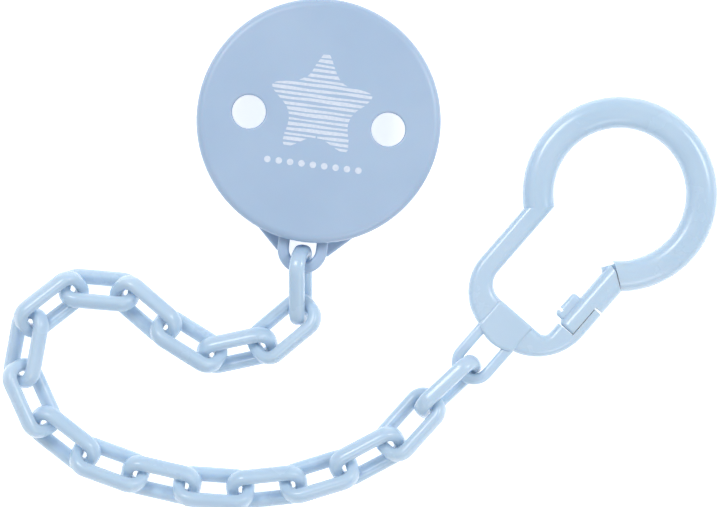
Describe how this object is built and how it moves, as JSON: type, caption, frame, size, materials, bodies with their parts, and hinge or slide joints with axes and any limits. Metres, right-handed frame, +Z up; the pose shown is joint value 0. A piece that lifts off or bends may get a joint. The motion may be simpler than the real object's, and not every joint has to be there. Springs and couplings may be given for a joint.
{
  "type": "soother holder",
  "caption": "Soother holder: round vented garment clip with a sprung lever, a chain of interlocked moulded links and a pear-shaped snap ring with a hinged gate",
  "frame": {"origin": "middle of the footprint of the whole holder, on the surface it lies on", "axes": "+Z up off the surface, out of the clip's face; +X from the far loop of the chain to the snap ring; +Y from the chain's bottom curve to the clip"},
  "size_m": [0.12, 0.0852, 0.0123],
  "materials": {
    "clip_blue": "satin",
    "chain_blue": "gloss",
    "steel": "satin"
  },
  "bodies": {
    "clip": {"clip_front": "clip_blue", "clip_pin": "steel", "clip_spring": "steel"},
    "clip_lever": {"clip_lever": "clip_blue"},
    "link_01": {"chain_link_01": "chain_blue"},
    "link_02": {"chain_link_02": "chain_blue"},
    "link_03": {"chain_link_03": "chain_blue"},
    "link_04": {"chain_link_04": "chain_blue"},
    "link_05": {"chain_link_05": "chain_blue"},
    "link_06": {"chain_link_06": "chain_blue"},
    "link_07": {"chain_link_07": "chain_blue"},
    "link_08": {"chain_link_08": "chain_blue"},
    "link_09": {"chain_link_09": "chain_blue"},
    "link_10": {"chain_link_10": "chain_blue"},
    "link_11": {"chain_link_11": "chain_blue"},
    "link_12": {"chain_link_12": "chain_blue"},
    "link_13": {"chain_link_13": "chain_blue"},
    "link_14": {"chain_link_14": "chain_blue"},
    "link_15": {"chain_link_15": "chain_blue"},
    "link_16": {"chain_link_16": "chain_blue"},
    "link_17": {"chain_link_17": "chain_blue"},
    "link_18": {"chain_link_18": "chain_blue"},
    "snap_ring": {"clasp_body": "chain_blue", "clasp_gate_pin": "chain_blue"},
    "snap_gate": {"clasp_gate": "chain_blue"}
  },
  "joints": [
    {"name": "lever_open", "type": "hinge", "parent": "clip", "child": "clip_lever", "pos_m": [-0.00725, 0.01936, 0.0046], "axis": [-0.9919, 0.1271, 0], "range_deg": [0, 12], "stiffness_Nm_per_rad": 0.05, "springref_deg": -20.05, "deforming": ["clip_spring"]},
    {"name": "link_01_swing", "type": "hinge", "parent": "clip", "child": "link_01", "pos_m": [-0.0099, -0.00213, 0.0081], "axis": [0.9781, -0.0944, 0.1853], "range_deg": [-85, 30]},
    {"name": "link_02_swing", "type": "hinge", "parent": "link_01", "child": "link_02", "pos_m": [-0.01029, -0.01026, 0.00598], "axis": [-0.4022, 0.3152, 0.8596], "range_deg": [-25, 45]},
    {"name": "link_03_swing", "type": "hinge", "parent": "link_02", "child": "link_03", "pos_m": [-0.01743, -0.01523, 0.00446], "axis": [-0.1045, 0.761, -0.6403], "range_deg": [-80, 10]},
    {"name": "link_04_swing", "type": "hinge", "parent": "link_03", "child": "link_04", "pos_m": [-0.026, -0.01607, 0.00487], "axis": [-0.3839, -0.6364, -0.669], "range_deg": [-85, 30]},
    {"name": "link_05_swing", "type": "hinge", "parent": "link_04", "child": "link_05", "pos_m": [-0.03348, -0.01118, 0.00451], "axis": [-0.4798, -0.552, 0.682], "range_deg": [-50, 20]},
    {"name": "link_06_swing", "type": "hinge", "parent": "link_05", "child": "link_06", "pos_m": [-0.04055, -0.00609, 0.00365], "axis": [0.0519, 0.7296, 0.6819], "range_deg": [-85, 30]},
    {"name": "link_07_swing", "type": "hinge", "parent": "link_06", "child": "link_07", "pos_m": [-0.04918, -0.00628, 0.00451], "axis": [-0.4596, 0.569, -0.6819], "range_deg": [-25, 90]},
    {"name": "link_08_swing", "type": "hinge", "parent": "link_07", "child": "link_08", "pos_m": [-0.0554, -0.01229, 0.00369], "axis": [0.7202, -0.127, -0.682], "range_deg": [-25, 90]},
    {"name": "link_09_swing", "type": "hinge", "parent": "link_08", "child": "link_09", "pos_m": [-0.05622, -0.02102, 0.00445], "axis": [0.6621, 0.2815, 0.6946], "range_deg": [-85, 18]},
    {"name": "link_10_swing", "type": "hinge", "parent": "link_09", "child": "link_10", "pos_m": [-0.0521, -0.02881, 0.00368], "axis": [-0.4429, -0.5668, 0.6947], "range_deg": [-80, 10]},
    {"name": "link_11_swing", "type": "hinge", "parent": "link_10", "child": "link_11", "pos_m": [-0.04485, -0.03399, 0.00407], "axis": [-0.2534, -0.6602, -0.707], "range_deg": [-45, 70]},
    {"name": "link_12_swing", "type": "hinge", "parent": "link_11", "child": "link_12", "pos_m": [-0.03641, -0.03691, 0.00378], "axis": [0.1591, 0.689, -0.7071], "range_deg": [-10, 65]},
    {"name": "link_13_swing", "type": "hinge", "parent": "link_12", "child": "link_13", "pos_m": [-0.02766, -0.03874, 0.00396], "axis": [0.0616, 0.7045, 0.707], "range_deg": [-65, 50]},
    {"name": "link_14_swing", "type": "hinge", "parent": "link_13", "child": "link_14", "pos_m": [-0.01874, -0.03916, 0.0036], "axis": [0.0739, -0.7032, 0.7071], "range_deg": [-65, 10]},
    {"name": "link_15_swing", "type": "hinge", "parent": "link_14", "child": "link_15", "pos_m": [-0.00988, -0.03798, 0.00385], "axis": [0.2067, -0.6762, -0.7071], "range_deg": [-50, 65]},
    {"name": "link_16_swing", "type": "hinge", "parent": "link_15", "child": "link_16", "pos_m": [-0.00141, -0.03515, 0.00362], "axis": [-0.3211, 0.6301, -0.707], "range_deg": [-16, 65]},
    {"name": "link_17_swing", "type": "hinge", "parent": "link_16", "child": "link_17", "pos_m": [0.00629, -0.03067, 0.00411], "axis": [-0.4274, 0.4038, 0.8089], "range_deg": [-75, 40]},
    {"name": "link_18_swing", "type": "hinge", "parent": "link_17", "child": "link_18", "pos_m": [0.01242, -0.02417, 0.0041], "axis": [0.6556, -0.703, 0.2756], "range_deg": [-45, 35]},
    {"name": "snap_ring_swing", "type": "hinge", "parent": "link_18", "child": "snap_ring", "pos_m": [0.01897, -0.01806, 0.0041], "axis": [0, 0, -1], "range_deg": [-30, 65]},
    {"name": "gate_open", "type": "hinge", "parent": "snap_ring", "child": "snap_gate", "pos_m": [0.04412, -0.00231, 0.00255], "axis": [0, 0, -1], "range_deg": [0, 20]}
  ]
}
